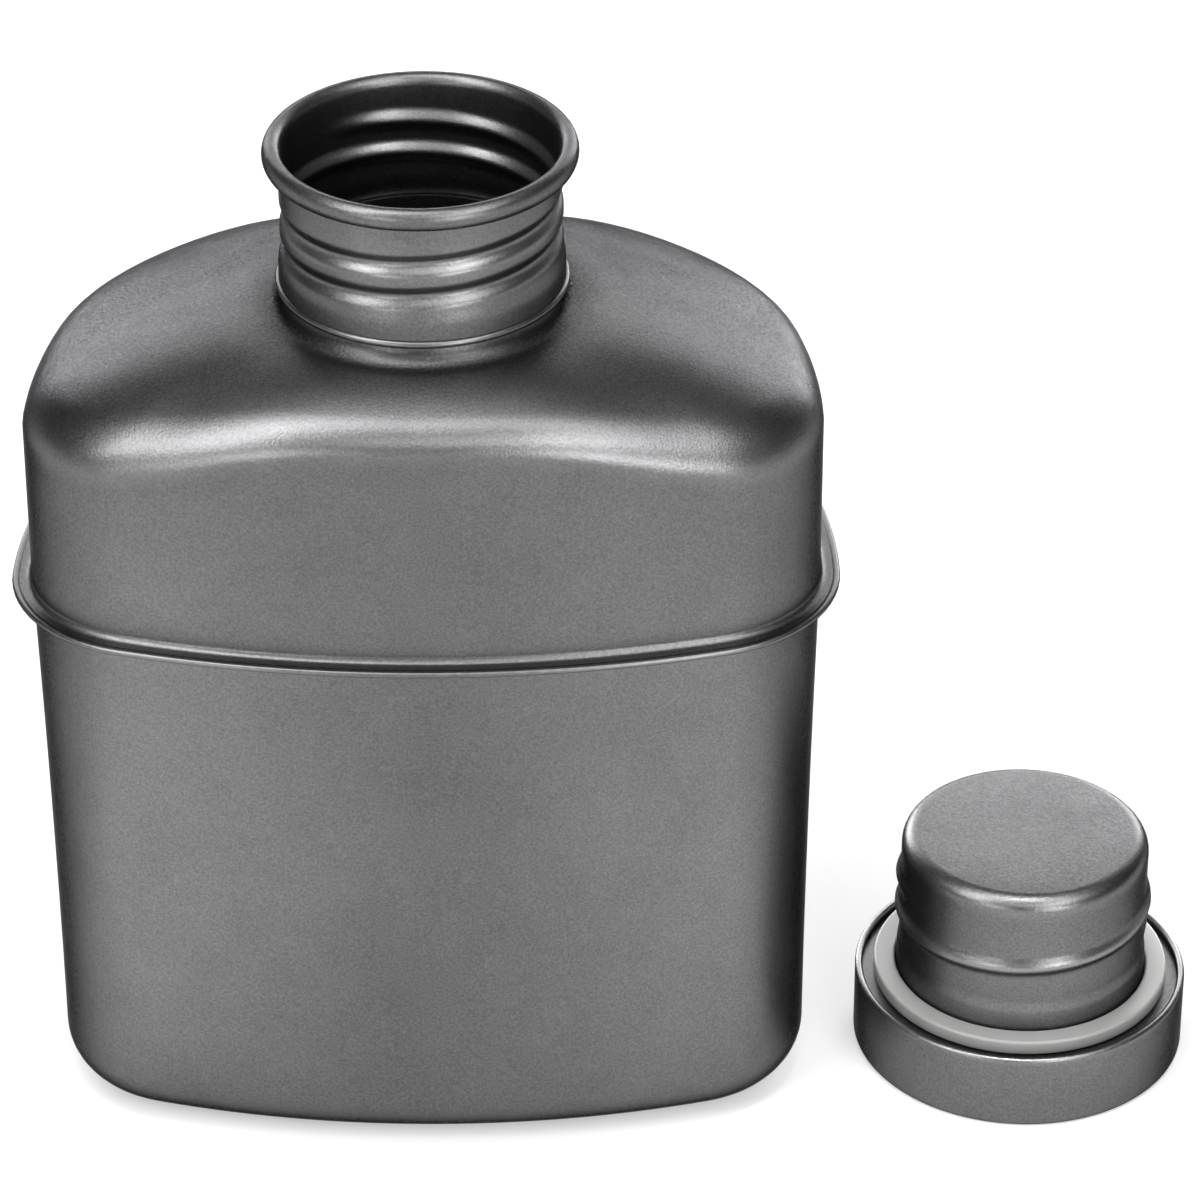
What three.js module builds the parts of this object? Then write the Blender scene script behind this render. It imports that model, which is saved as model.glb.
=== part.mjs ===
// Titanium canteen: a kidney-shaped bottle with a wide threaded neck, and its screw cap,
// which stands upside down beside the bottle. Millimetres, +Z up. The origin lies on the
// neck's axis at the height of the base, and the convex front of the bottle faces -Y.
import * as THREE from 'three';

// Sheet and fits
const sheet = 0.5;                // wall of every titanium part
const fitGap = 0.3;               // clearance between parts that seat on each other

// Body outline, measured on the outer edge of the flange
const bodyWidth = 140;
const bodyFront = 42;           // neck axis to the middle of the convex front
const frontRadius = 186;
const cornerRadius = 26.6;          // from the front to the widest place
const sideRadius = 110;
const lobeRadius = 37;
const lobeDepth = 45;             // neck axis to the back of the two lobes
const hollowDepth = 37;           // neck axis to the middle of the hollow back

// Body heights and wall
const flangeHeight = 100.1;        // plane in which the two half shells meet
const ledge = 3.35;                // width of the flange outside the wall
const ledgeFillet = 1.2;
const draft = 1.4;                // how much narrower the lower wall ends on each side
const baseFillet = 9;
const wallTopSide = 130.3;        // top of the upright wall at the widest places
const wallTopFront = 139.5;       // and in the middle of the front and the back
const frontFallPowers = [3, 4];   // how fast this top falls off sideways in front
const backFallPowers = [2, 2.4];  // and behind
const shoulderTop = 148.3;        // foot of the collar
const shoulderRoundWidth = 6.6;   // rounding between the wall and the sloping shoulder
const shoulderRoundHeight = 4.7;
const roundMiddleShare = 0.62;    // this rounding in the middle of the front, as a share of its size
const roundSwellShare = 1.7;      // and how much it grows before the corners
const shoulderBow = 2.3;          // how far the slope bulges where it is longest

// Weld bead round the flange
const edgeWeldWidth = 0.5;

// Collar of the upper shell, over which the neck slips
const collarLap = 2.6;            // how far the collar reaches into the neck
const collarFillet = 3.4;

// Neck
const neckTop = 177.5;
const neckBottom = 152.6;
const neckInnerRadius = 22.94;
const neckFootSwell = 0.4;        // the neck widens by this much at its lower edge
const neckFootBlend = 3.6;        // height over which it narrows again above the collar
const neckWeldHeight = 0.9;       // half the height of the bead at its lower edge
const neckWeldWidth = 0.55;       // how far the bead stands proud of the neck
const lipHalfWidth = 1.55;
const lipHalfHeight = 1.95;

// Thread, rolled as a groove into the neck and as a ridge into the plug
const threadPitch = 5.9;
const grooveDepth = 1;
const grooveWidth = 4.5;
const grooveStart = 158.3;        // height at which the neck's groove begins
const grooveStartAngle = THREE.MathUtils.degToRad(-140);
const grooveTurns = 2.02;
const ridgeDepth = 0.9;
const ridgeWidth = 4.3;
const ridgeStart = 23.95;
const ridgeStartAngle = THREE.MathUtils.degToRad(70);
const ridgeTurns = 1.63;
const threadFade = THREE.MathUtils.degToRad(35);

// Cap, standing on its outer face
const capX = 104.2;
const capY = -2.7;
const coverRadius = 29.3;
const coverHeight = 14.3;
const coverFillet = 1;
const hemWidth = 1.3;
const hemDepth = 1.5;             // from the rim down to the flange of the plug
const plugRadius = 21.7;
const plugHeight = 42.6;
const plugTopFillet = 2.9;
const plugFootSwell = 0.3;        // the plug widens by this much above its flange
const plugFootTop = 19;
const plugFootBlend = 2.4;
const plugFlangeFillet = 0.6;
const gasketWidth = 3.75;
const gasketHeight = 2.7;
const gasketFillet = 0.5;
const gasketGap = 0.25;

// Finishes
const titanium = { color: 0x8b8c8d, metalness: 0.9, roughness: 0.46 };
const weldMetal = { color: 0xa3a4a5, metalness: 0.9, roughness: 0.36 };
const silicone = { color: 0xb8b8b5, metalness: 0, roughness: 0.6 };

// Facets
const roundSteps = 36;
const capSteps = 40;
const outlineSteps = { front: 4, corner: 7, side: 4, lobe: 8, hollow: 5 };
const roundShares = [0, 0.08, 0.3, 0.62, 1];
const slopeShares = [0.33, 0.67];

const quarter = Math.PI / 2;
const fullTurn = Math.PI * 2;

function arc(center, radius, from, to, steps) {
  return Array.from({ length: steps + 1 }, (_, i) => {
    const angle = from + (to - from) * i / steps;
    return new THREE.Vector2(center.x + radius * Math.cos(angle), center.y + radius * Math.sin(angle));
  });
}

function ellipseArc(center, halfWidth, halfHeight, from, to, steps) {
  return arc(new THREE.Vector2(), 1, from, to, steps)
    .map((p) => new THREE.Vector2(center.x + halfWidth * p.x, center.y + halfHeight * p.y));
}

// Centres of the tangent arcs of the right half of the outline, from front to back.
function outlineCenters() {
  const front = new THREE.Vector2(0, frontRadius - bodyFront);
  const cornerX = bodyWidth / 2 - cornerRadius;
  const corner = new THREE.Vector2(cornerX, front.y - Math.sqrt((frontRadius - cornerRadius) ** 2 - cornerX ** 2));
  const side = new THREE.Vector2(bodyWidth / 2 - sideRadius, corner.y);
  const lobeY = lobeDepth - lobeRadius;
  const lobeX = side.x + Math.sqrt((sideRadius - lobeRadius) ** 2 - (lobeY - side.y) ** 2);
  const lobe = new THREE.Vector2(lobeX, lobeY);
  const hollowRadius = (lobeX ** 2 + (lobeY - hollowDepth) ** 2 - lobeRadius ** 2)
    / (2 * (lobeDepth - hollowDepth));
  const hollow = new THREE.Vector2(0, hollowDepth + hollowRadius);
  return { front, corner, side, lobe, hollow, hollowRadius };
}

// The body outline drawn in by the inset, counterclockwise from the middle of the front.
function outline(inset) {
  const { front, corner, side, lobe, hollow, hollowRadius } = outlineCenters();
  const toCorner = corner.clone().sub(front).angle() - fullTurn;
  const toLobe = lobe.clone().sub(side).angle();
  const toHollow = hollow.clone().sub(lobe).angle();
  const steps = outlineSteps;
  const half = [
    arc(front, frontRadius - inset, -quarter, toCorner, steps.front),
    arc(corner, cornerRadius - inset, toCorner, 0, steps.corner),
    arc(side, sideRadius - inset, 0, toLobe, steps.side),
    arc(lobe, lobeRadius - inset, toLobe, toHollow, steps.lobe),
    arc(hollow, hollowRadius + inset, toHollow + Math.PI, 3 * quarter, steps.hollow),
  ].flatMap((points, i) => (i ? points.slice(1) : points));
  const mirrored = half.slice(1, -1).reverse().map((p) => new THREE.Vector2(-p.x, p.y));
  return [...half, ...mirrored];
}

const atHeight = (points, z) => points.map((p) => new THREE.Vector3(p.x, p.y, z));
const outlineRing = ({ x: inset, y: z }) => atHeight(outline(inset), z);
const collarRing = ({ x: radius, y: z }) => atHeight(
  outline(ledge).map((p) => p.clone().setLength(radius)), z);

// Closed surface through rings of equal count, listed so that they climb the outside. The ends
// are closed towards the two given poles, or the last ring joins the first one.
function loft(rings, poles = null) {
  const count = rings[0].length;
  const vertices = rings.flat();
  const index = [];
  const at = (ring, i) => (ring % rings.length) * count + i % count;
  for (let ring = 0; ring < rings.length - (poles ? 1 : 0); ring++) {
    for (let i = 0; i < count; i++) {
      const corners = [at(ring, i), at(ring, i + 1), at(ring + 1, i + 1), at(ring + 1, i)];
      index.push(corners[0], corners[1], corners[2], corners[0], corners[2], corners[3]);
    }
  }
  if (poles) {
    vertices.push(...poles);
    const [first, last] = [vertices.length - 2, vertices.length - 1];
    for (let i = 0; i < count; i++) {
      index.push(first, at(0, i + 1), at(0, i));
      index.push(last, at(rings.length - 1, i), at(rings.length - 1, i + 1));
    }
  }
  const geometry = new THREE.BufferGeometry().setFromPoints(vertices);
  geometry.setIndex(index);
  geometry.computeVertexNormals();
  return geometry;
}

// Body of revolution about +Z from (radius, height) points; its seam faces -Y.
function turned(points, steps) {
  return new THREE.LatheGeometry(points, steps).rotateX(quarter);
}

const place = (x, y) => new THREE.Vector2(x, y);

function mesh(name, geometry, finish) {
  const result = new THREE.Mesh(geometry, new THREE.MeshStandardMaterial(finish));
  result.name = name;
  return result;
}

// Half shells

const wallInset = (z) => ledge + draft * (1 - (z / flangeHeight) ** 2);
const flangeEdge = edgeWeldWidth + fitGap;

function lowerShell() {
  const wallHeightShares = [0.36, 0.64, 0.86];
  const baseCenter = place(wallInset(baseFillet) + baseFillet, baseFillet);
  const filletZ = flangeHeight - sheet - ledgeFillet;
  const filletCenter = place(wallInset(filletZ) - ledgeFillet, filletZ);
  // An inset grows inwards, so the arcs of this profile run mirrored.
  const turn = (center, radius, from, to, steps) => arc(place(0, center.y), radius, from, to, steps)
    .map((p) => place(center.x - p.x, p.y));
  const walls = wallHeightShares.map((share) => share * flangeHeight);
  const outer = [
    ...turn(baseCenter, baseFillet, -quarter, 0, 5),
    ...walls.map((z) => place(wallInset(z), z)),
    ...turn(filletCenter, ledgeFillet, Math.PI, quarter, 2),
    place(flangeEdge, flangeHeight - sheet),
  ];
  const inner = [
    place(flangeEdge, flangeHeight),
    ...turn(filletCenter, ledgeFillet + sheet, quarter, Math.PI, 2),
    ...walls.map((z) => place(wallInset(z) + sheet, z)).reverse(),
    ...turn(baseCenter, baseFillet - sheet, 0, -quarter, 4),
  ];
  const poles = [new THREE.Vector3(0, 0, 0), new THREE.Vector3(0, 0, sheet)];
  return loft([...outer, ...inner].map(outlineRing), poles);
}

// One skin of the shoulder: a tight rounding leaves the wall, then a slope climbs to the collar.
function shoulderRings(inset, top, radius) {
  const wall = outline(inset);
  const halfWidth = bodyWidth / 2 - inset;
  const widestY = outlineCenters().corner.y;
  const paths = wall.map((start) => {
    const run = start.clone().setLength(radius).sub(start);
    const inFront = start.y < widestY;
    const across = Math.min(1, Math.abs(start.x) / halfWidth);
    const [spread, power] = inFront ? frontFallPowers : backFallPowers;
    const wallTop = wallTopSide + (wallTopFront - wallTopSide) * (1 - across ** spread) ** power;
    const scale = inFront ? 1 - (1 - across ** 2) * (1 - roundMiddleShare - roundSwellShare * across ** 2) : 1;
    return {
      start, run, reach: run.length(), wallTop,
      roundWidth: shoulderRoundWidth * scale, roundHeight: shoulderRoundHeight * scale,
    };
  });
  const longest = Math.max(...paths.map((path) => path.reach));
  const heightAt = ({ reach, wallTop, roundWidth, roundHeight }, distance) => {
    const round = Math.max(0, 1 - distance / roundWidth);
    const share = distance / reach;
    return wallTop + roundHeight * Math.sqrt(1 - round ** 2)
      + (top - wallTop - roundHeight) * share
      + 4 * shoulderBow * share * (1 - share) * reach / longest;
  };
  const ring = (distanceOf) => paths.map((path) => {
    const distance = distanceOf(path);
    const p = path.start.clone().addScaledVector(path.run, distance / path.reach);
    return new THREE.Vector3(p.x, p.y, heightAt(path, distance));
  });
  return [
    ...roundShares.map((share) => ring(({ roundWidth }) => share * roundWidth)),
    ...slopeShares.map((share) => ring(({ reach, roundWidth }) => roundWidth + share * (reach - roundWidth))),
  ];
}

const collarRadius = neckInnerRadius + neckFootSwell - fitGap;
const collarFoot = collarRadius + collarFillet;
const collarTop = neckBottom + collarLap;

function upperShell() {
  const flangeTop = flangeHeight + sheet;
  const filletCenter = place(ledge - ledgeFillet, flangeTop + ledgeFillet);
  const ledgeArc = (radius) => arc(place(0, filletCenter.y), radius, -quarter, 0, 2)
    .map((p) => outlineRing(place(filletCenter.x + p.x, p.y)));
  const collarCenter = place(collarFoot, shoulderTop + collarFillet);
  const collarArc = (radius) => arc(collarCenter, radius, -quarter, -Math.PI, 3).map(collarRing);
  const outer = [
    outlineRing(place(flangeEdge, flangeHeight)),
    outlineRing(place(flangeEdge, flangeTop)),
    ...ledgeArc(ledgeFillet),
    ...shoulderRings(ledge, shoulderTop, collarFoot),
    ...collarArc(collarFillet),
    collarRing(place(collarRadius, collarTop)),
  ];
  const inner = [
    ...ledgeArc(ledgeFillet + sheet),
    ...shoulderRings(ledge + sheet, shoulderTop - sheet, collarFoot),
    ...collarArc(collarFillet + sheet),
    collarRing(place(collarRadius - sheet, collarTop)),
  ];
  return loft([...outer, ...inner.reverse()]);
}

// Bead that closes the rims of the two flanges.
function edgeWeld() {
  const bead = arc(place(0, 0), 1, -quarter, quarter, 4)
    .map((p) => place(edgeWeldWidth * (1 - p.x), flangeHeight + sheet * p.y));
  return loft(bead.map(outlineRing));
}

// Thread

// How far a rolled thread has grown at a place: 0 on the plain wall, 1 along its middle.
function threadShare({ start, startAngle, turns, width }, angle, z) {
  const climb = (z - start) / threadPitch * fullTurn;
  const laps = Math.round((climb - (angle - startAngle)) / fullTurn);
  const along = angle - startAngle + laps * fullTurn;
  const off = z - start - threadPitch * along / fullTurn;
  const fade = Math.min(along, turns * fullTurn - along) / threadFade;
  if (fade <= 0 || Math.abs(off) >= width / 2) return 0;
  return THREE.MathUtils.smoothstep(fade, 0, 1) * (1 + Math.cos(fullTurn * off / width)) / 2;
}

// Rolls the thread into a turned wall: every place moves along its radius by the same amount.
function rollThread(geometry, thread, depth) {
  const position = geometry.attributes.position;
  for (let i = 0; i < position.count; i++) {
    const [x, y, z] = [position.getX(i), position.getY(i), position.getZ(i)];
    const radius = Math.hypot(x, y);
    if (radius === 0) continue;
    const share = threadShare(thread, Math.atan2(x, -y), z);
    const scale = 1 + depth * share / radius;
    position.setXY(i, x * scale, y * scale);
  }
  geometry.computeVertexNormals();
  return geometry;
}

const levels = (from, to, count) => Array.from({ length: count + 1 }, (_, i) => from + (to - from) * i / count);

// Neck

const neckRadius = neckInnerRadius + sheet;
const groove = { start: grooveStart, startAngle: grooveStartAngle, turns: grooveTurns, width: grooveWidth };

function threadedNeck() {
  const lip = place(neckInnerRadius + lipHalfWidth, neckTop - lipHalfHeight);
  const grooveTop = grooveStart + grooveTurns * threadPitch + grooveWidth / 2;
  const footTop = collarTop + fitGap;
  const threadLevels = levels(footTop, Math.min(grooveTop, lip.y - lipHalfHeight), 18);
  const swell = (z) => neckFootSwell * (1 - THREE.MathUtils.smoothstep(z, footTop, footTop + neckFootBlend));
  // The rolled lip ends where it would touch the wall again.
  const curlEnd = -Math.acos((neckRadius + fitGap - lip.x) / lipHalfWidth);
  const inside = [
    place(neckInnerRadius + neckFootSwell, neckBottom),
    ...threadLevels.map((z) => place(neckInnerRadius + swell(z), z)),
  ];
  const curl = [
    ...ellipseArc(lip, lipHalfWidth, lipHalfHeight, Math.PI, curlEnd, 12),
    ...ellipseArc(lip, lipHalfWidth - sheet, lipHalfHeight - sheet, curlEnd, Math.PI, 7),
  ];
  const outside = inside.map((p) => place(p.x + sheet, p.y));
  const profile = [...outside, ...curl.reverse(), ...inside.reverse()];
  profile.push(profile[0]);
  return rollThread(turned(profile, roundSteps), groove, -grooveDepth);
}

// Bead round the lower edge of the neck.
function neckWeld() {
  const innerRadius = collarRadius + fitGap;
  const outerRadius = neckRadius + neckFootSwell;
  const rounded = ellipseArc(place(outerRadius, neckBottom), neckWeldWidth, neckWeldHeight, -quarter, quarter, 4);
  const profile = [
    place(innerRadius, neckBottom - neckWeldHeight),
    ...rounded,
    place(outerRadius, neckBottom),
    place(innerRadius, neckBottom),
  ];
  profile.push(profile[0]);
  return turned(profile, roundSteps);
}

// Cap

const plugFlangeTop = coverHeight - hemDepth;
const plugFootRadius = plugRadius + plugFootSwell;

// Disc and skirt, with the rim folded over the flange of the plug.
function capCover() {
  const hemRound = hemWidth / 2;
  const edge = place(coverRadius - coverFillet, coverFillet);
  const rim = place(coverRadius - hemRound, coverHeight - hemRound);
  return turned([
    place(0, 0),
    ...arc(edge, coverFillet, -quarter, 0, 3),
    ...arc(rim, hemRound, 0, Math.PI, 4),
    place(coverRadius - hemWidth, plugFlangeTop),
    place(coverRadius - sheet, plugFlangeTop),
    ...arc(edge, coverFillet - sheet, 0, -quarter, 2),
    place(0, sheet),
  ], capSteps);
}

const ridge = { start: ridgeStart, startAngle: ridgeStartAngle, turns: ridgeTurns, width: ridgeWidth };

// Cup that enters the neck, with the flange that closes the cover.
function capPlug() {
  const flangeRadius = coverRadius - sheet - fitGap;
  const ridgeBottom = ridgeStart - ridgeWidth / 2;
  const ridgeTop = ridgeStart + ridgeTurns * threadPitch + ridgeWidth / 2;
  const top = place(plugRadius - plugTopFillet, plugHeight - plugTopFillet);
  const foot = place(plugFootRadius + plugFlangeFillet, plugFlangeTop + plugFlangeFillet);
  const wall = [
    place(plugFootRadius, plugFootTop),
    ...levels(Math.max(ridgeBottom, plugFootTop + plugFootBlend), Math.min(ridgeTop, top.y), 14)
      .map((z) => place(plugRadius, z)),
  ];
  const skin = (depth) => [
    ...arc(foot, plugFlangeFillet + depth, -quarter, -Math.PI, 2),
    ...wall.map((p) => place(p.x - depth, p.y)),
    ...arc(top, plugTopFillet - depth, 0, quarter, 4),
    place(0, plugHeight - depth),
  ];
  const profile = [
    ...skin(sheet).reverse(),
    place(flangeRadius, plugFlangeTop - sheet),
    place(flangeRadius, plugFlangeTop),
    ...skin(0),
  ];
  return rollThread(turned(profile, roundSteps), ridge, ridgeDepth);
}

// Sealing ring round the foot of the plug.
function capGasket() {
  const inner = plugFootRadius + gasketGap;
  const bottom = plugFlangeTop + gasketGap;
  const corner = (radius, height, from) => arc(
    place(radius, height), gasketFillet, from * quarter, (from + 1) * quarter, 2);
  const profile = [
    ...corner(inner + gasketWidth - gasketFillet, bottom + gasketFillet, -1),
    ...corner(inner + gasketWidth - gasketFillet, bottom + gasketHeight - gasketFillet, 0),
    ...corner(inner + gasketFillet, bottom + gasketHeight - gasketFillet, 1),
    ...corner(inner + gasketFillet, bottom + gasketFillet, 2),
  ];
  profile.push(profile[0]);
  return turned(profile, capSteps);
}

// Assembly

const bottle = new THREE.Group();
bottle.add(
  mesh('lower_shell', lowerShell(), titanium),
  mesh('upper_shell', upperShell(), titanium),
  mesh('edge_weld', edgeWeld(), weldMetal),
  mesh('threaded_neck', threadedNeck(), titanium),
  mesh('neck_weld', neckWeld(), weldMetal),
);

const cap = new THREE.Group();
cap.position.set(capX, capY, 0);
cap.add(
  mesh('cap_cover', capCover(), titanium),
  mesh('cap_plug', capPlug(), titanium),
  mesh('cap_gasket', capGasket(), silicone),
);

const canteen = new THREE.Group();
canteen.add(bottle, cap);

export default canteen;
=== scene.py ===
import math

import bmesh
import bpy
from bpy.props import FloatProperty, FloatVectorProperty, IntProperty, PointerProperty
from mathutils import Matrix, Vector


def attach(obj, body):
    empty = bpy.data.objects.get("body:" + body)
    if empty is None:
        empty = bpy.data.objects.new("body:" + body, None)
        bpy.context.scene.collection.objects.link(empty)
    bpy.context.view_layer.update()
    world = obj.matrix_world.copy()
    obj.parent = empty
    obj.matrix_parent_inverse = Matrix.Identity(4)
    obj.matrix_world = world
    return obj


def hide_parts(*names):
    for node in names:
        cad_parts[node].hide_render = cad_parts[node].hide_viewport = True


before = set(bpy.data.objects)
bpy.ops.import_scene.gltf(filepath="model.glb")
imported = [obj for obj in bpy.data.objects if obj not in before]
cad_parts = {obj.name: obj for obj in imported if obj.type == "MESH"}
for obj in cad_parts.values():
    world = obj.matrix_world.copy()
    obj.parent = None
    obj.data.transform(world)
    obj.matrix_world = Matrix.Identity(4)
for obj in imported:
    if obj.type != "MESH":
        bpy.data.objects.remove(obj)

bl_info = {
    "name": "Titanium canteen",
    "version": (1, 0, 0),
    "blender": (4, 5, 0),
    "location": "3D View > Sidebar > Canteen",
    "description": "Builds a two-shell titanium canteen and its screw cap, with finishes and studio",
    "category": "Object",
}

QUARTER = math.pi / 2
TURN = math.pi * 2

MERGE_DISTANCE = 0.000002   # points nearer to each other than this are one

# Small lengths at the flange, in metres
SHEET_END = 0.0003      # how far inside the bead's width the two sheets end
FLAT_STRIP = 0.0005     # flat strip between the flange and its fillet
BEAD_RUN_OUT = 0.0004   # length over which the bead thins out on the sheets

# Height of the flange bead over the sheet's thickness, at its crown and at its foot
BEAD_CROWN = 1.06
BEAD_FOOT = 0.2

# Sizes of the marks in the finishes and depths of their bumps, in metres
CLOUDS = 0.03
HANDLING = 0.007
GRAIN_BUMP = 0.00005
WELD_RIPPLE = 0.0009
WELD_BUMP = 0.00008
SILICONE_DUST = 0.004
SILICONE_GRAIN = 0.0006
SILICONE_BUMP = 0.00004

# Soft boxes: name, power, share of that power, azimuth from the front and height in degrees, size
SOFT_BOXES = (
    ("left_soft_box", "left_power", 1, (-50, 43), (0.42, 0.9)),
    ("right_soft_box", "right_power", 0.8, (31, 37), (0.42, 0.36)),
    ("high_right_soft_box", "right_power", 0.9, (48, 54), (0.42, 0.7)),
    ("front_soft_box", "right_power", 0.35, (0, 37), (0.6, 0.22)),
    ("overhead_soft_box", "top_power", 0.75, (0, 88), (1.3, 0.9)),
    ("low_right_soft_box", "right_power", 1, (26, 8), (0.42, 0.4)),
    ("low_left_soft_box", "low_power", 1, (-28, 8), (0.42, 0.4)),
    ("top_soft_box", "top_power", 1, (-40, 72), (0.8, 0.5)),
    ("back_soft_box", "back_power", 1.15, (180, 26), (1.5, 0.42)),
    ("back_low_strip", "back_power", 2, (180, 7), (1.8, 0.24)),
    ("back_left_strip", "back_power", 1, (-155, 8), (0.52, 0.36)),
    ("back_right_strip", "back_power", 1, (155, 8), (0.52, 0.36)),
)
SOFT_BOX_TARGET = (0.03, 0, 0.09)
SOFT_BOX_DISTANCE = 1.2

# Lamps over the floor in front: name, share of their power, place
FLOOR_LAMPS = (
    ("floor_lamp_left", 1, (-0.108, -0.113, 0.7)),
    ("floor_lamp_right", 0.9, (0.108, -0.113, 0.7)),
)
FLOOR_LAMP_CONE = math.radians(17.5)
FLOOR_LAMP_RADIUS = 0.03

# The floor's white grows between two distances from the neck's axis, in metres, and the room
# dims between two heights of view, as the sine of the angle
GLOW_NEAR, GLOW_FAR = 0.35, 1.1
HORIZON_LOW, HORIZON_HIGH = 0.07, 0.14
HORIZON_LEVEL = 0.7

CAMERA_PLACE = (0.02937, -0.808, 0.592)
SENSOR_WIDTH = 36


def length(title, description, default):
    return FloatProperty(name=title, description=description, default=default, unit="LENGTH", precision=5)


def number(title, description, default):
    return FloatProperty(name=title, description=description, default=default)


def part_of_one(title, description, default):
    return FloatProperty(name=title, description=description, default=default, min=0, max=1)


def turn_angle(title, description, default):
    return FloatProperty(name=title, description=description, default=default, subtype="ANGLE")


def lamp_power(title, description, default):
    return FloatProperty(name=title, description=description, default=default, unit="POWER")


def fall_powers(title, description, default):
    return FloatVectorProperty(name=title, description=description, default=default, size=2)


def colour(title, description, level):
    return FloatVectorProperty(name=title, description=description, default=level, size=3,
                               subtype="COLOR", min=0, max=1)


# Sizes and colours that a user would change

class BodySizes(bpy.types.PropertyGroup):
    """Sizes of the two half shells, measured on the outer edge of the flange."""
    width: length("Width", "Flange edge to flange edge", 0.14)
    front: length("Front", "Neck axis to the middle of the convex front", 0.042)
    front_radius: length("Front radius", "Radius of the convex front", 0.186)
    corner_radius: length("Corner radius", "Radius from the front to the widest place", 0.0266)
    side_radius: length("Side radius", "Radius of the sides behind the widest place", 0.11)
    lobe_radius: length("Lobe radius", "Radius of the two back lobes", 0.037)
    lobe_depth: length("Lobe depth", "Neck axis to the back of the lobes", 0.045)
    hollow_depth: length("Hollow depth", "Neck axis to the middle of the hollow back", 0.037)
    sheet: length("Sheet", "Wall of every titanium part", 0.0005)
    flange_height: length("Flange height", "Plane in which the half shells meet", 0.1001)
    ledge: length("Ledge", "Width of the flange outside the wall", 0.00335)
    ledge_fillet: length("Ledge fillet", "Fillet between flange and wall", 0.0012)
    draft: length("Draft", "How much narrower the lower wall ends on each side", 0.0014)
    base_fillet: length("Base fillet", "Rounding of the base", 0.009)
    wall_top_side: length("Wall top, side", "Top of the upright wall at the widest places", 0.1303)
    wall_top_front: length("Wall top, front", "Top of the upright wall in the middle", 0.1395)
    front_fall: fall_powers("Front fall", "Powers by which the wall top falls off in front", (3, 4))
    back_fall: fall_powers("Back fall", "Powers by which the wall top falls off behind", (2, 2.4))
    shoulder_top: length("Shoulder top", "Foot of the collar", 0.1483)
    round_width: length("Round width", "Depth of the rounding above the wall", 0.0066)
    round_height: length("Round height", "Height of the rounding above the wall", 0.0047)
    round_middle: number("Rounding, middle", "Its share of that size in the middle of the front", 0.62)
    round_swell: number("Rounding swell", "How much it grows before the corners", 1.7)
    bow: length("Bow", "How far the slope bulges where it is longest", 0.0023)
    weld_width: length("Weld width", "Bead outside the flange edges", 0.0005)
    weld_lap: length("Weld lap", "How far the bead runs in over the flanges", 0.0011)


class NeckSizes(bpy.types.PropertyGroup):
    """Sizes of the neck, its collar and its rolled thread."""
    top: length("Top", "Height of the lip", 0.1775)
    bottom: length("Bottom", "Lower edge of the neck", 0.1526)
    inner_radius: length("Inner radius", "Bore of the plain neck", 0.02294)
    foot_swell: length("Foot swell", "How much the neck widens at its lower edge", 0.0004)
    foot_blend: length("Foot blend", "Height over which it narrows again above the collar", 0.0036)
    lip_half_width: length("Lip half width", "Half the width of the rolled lip", 0.00155)
    lip_half_height: length("Lip half height", "Half the height of the rolled lip", 0.00195)
    collar_lap: length("Collar lap", "How far the collar reaches into the neck", 0.0026)
    collar_fillet: length("Collar fillet", "Fillet between shoulder and collar", 0.0034)
    fit_gap: length("Fit gap", "Clearance between collar and neck", 0.0003)
    weld_height: length("Weld height", "Half the height of the bead round the neck's lower edge", 0.00065)
    weld_width: length("Weld width", "How far that bead stands proud", 0.0006)
    weld_drop: length("Weld drop", "How far its middle lies below the neck's lower edge", 0.0003)
    groove_depth: length("Groove depth", "Depth of the rolled groove", 0.001)
    groove_width: length("Groove width", "Width of the rolled groove", 0.0045)
    groove_start: length("Groove start", "Height at which the groove begins", 0.1583)
    groove_turns: number("Groove turns", "Length of the groove in turns", 2.02)
    groove_angle: turn_angle("Groove angle", "Where the groove begins, from the front", math.radians(-140))
    pitch: length("Pitch", "Climb of the thread in one turn", 0.0059)
    fade: turn_angle("Fade", "Run-out of the thread at each end", math.radians(35))


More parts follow.
